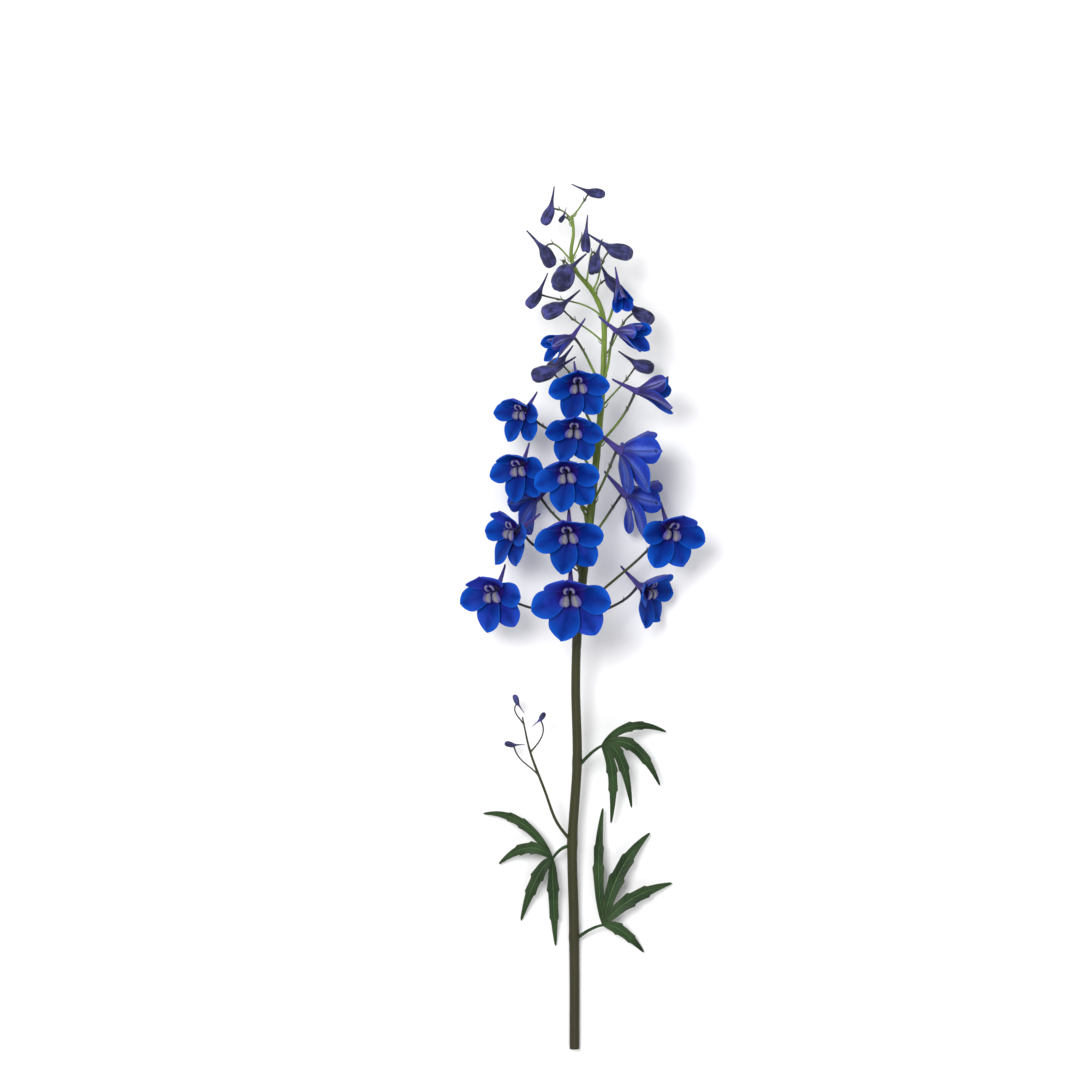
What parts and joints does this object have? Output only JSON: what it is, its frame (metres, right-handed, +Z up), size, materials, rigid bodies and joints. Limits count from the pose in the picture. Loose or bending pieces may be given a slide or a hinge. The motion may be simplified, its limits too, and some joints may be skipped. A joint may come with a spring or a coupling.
{
  "type": "delphinium flower spike",
  "caption": "Cut delphinium spike lying on its side: cobalt blue spurred blooms with pale lilac eyes, slate indigo buds, a green stem and cut leaves.",
  "frame": {"origin": "on the surface that the spike lies on, under the middle of the flat on which the foot of the stem rests", "axes": "+Y runs along the stem from its cut end to the tip of the spike, +Z points up from the surface towards the blooms that face the viewer, +X is to the right when looking down with the tip at the top"},
  "size_m": [0.1532, 0.5449, 0.0872],
  "materials": {
    "stem": "smooth green plant stem, yellow green above and brownish olive towards the cut end, satin",
    "leaf": "matt dark green leaf with a greyish bloom",
    "sepal": "thin velvety petal, saturated cobalt blue with violet flushes and fine veins, soft sheen",
    "opening_sepal": "outer side of a half open petal, violet blue with a pale midrib stripe, soft sheen",
    "eye": "pale lilac to white small petals round dark stamens, finely hairy, matt",
    "bud": "closed bud, slate indigo with green grey tips, finely downy, matt"
  },
  "bodies": {
    "root": {"stem": "stem", "leaf_01": "leaf", "leaf_02": "leaf", "leaf_03": "leaf", "bloom_01": "sepal", "eye_01": "eye", "bloom_02": "sepal", "eye_02": "eye", "bloom_03": "sepal", "eye_03": "eye", "bloom_04": "sepal", "eye_04": "eye", "bloom_05": "sepal", "eye_05": "eye", "bloom_06": "sepal", "eye_06": "eye", "bloom_07": "sepal", "eye_07": "eye", "bloom_08": "sepal", "eye_08": "eye", "bloom_09": "sepal", "eye_09": "eye", "bloom_10": "sepal", "eye_10": "eye", "bloom_11": "sepal", "eye_11": "eye", "bloom_12": "sepal", "eye_12": "eye", "bloom_13": "sepal", "eye_13": "eye", "bloom_14": "sepal", "eye_14": "eye", "opening_01": "opening_sepal", "opening_02": "opening_sepal", "opening_03": "opening_sepal", "opening_04": "opening_sepal", "bud_01": "bud", "bud_02": "bud", "bud_03": "bud", "bud_04": "bud", "bud_05": "bud", "bud_06": "bud", "bud_07": "bud", "bud_08": "bud", "bud_09": "bud", "bud_10": "bud", "bud_11": "bud", "bud_12": "bud", "bud_13": "bud", "bud_14": "bud", "bud_15": "bud", "shoot_bud_01": "bud", "shoot_bud_02": "bud", "shoot_bud_03": "bud"}
  },
  "joints": []
}
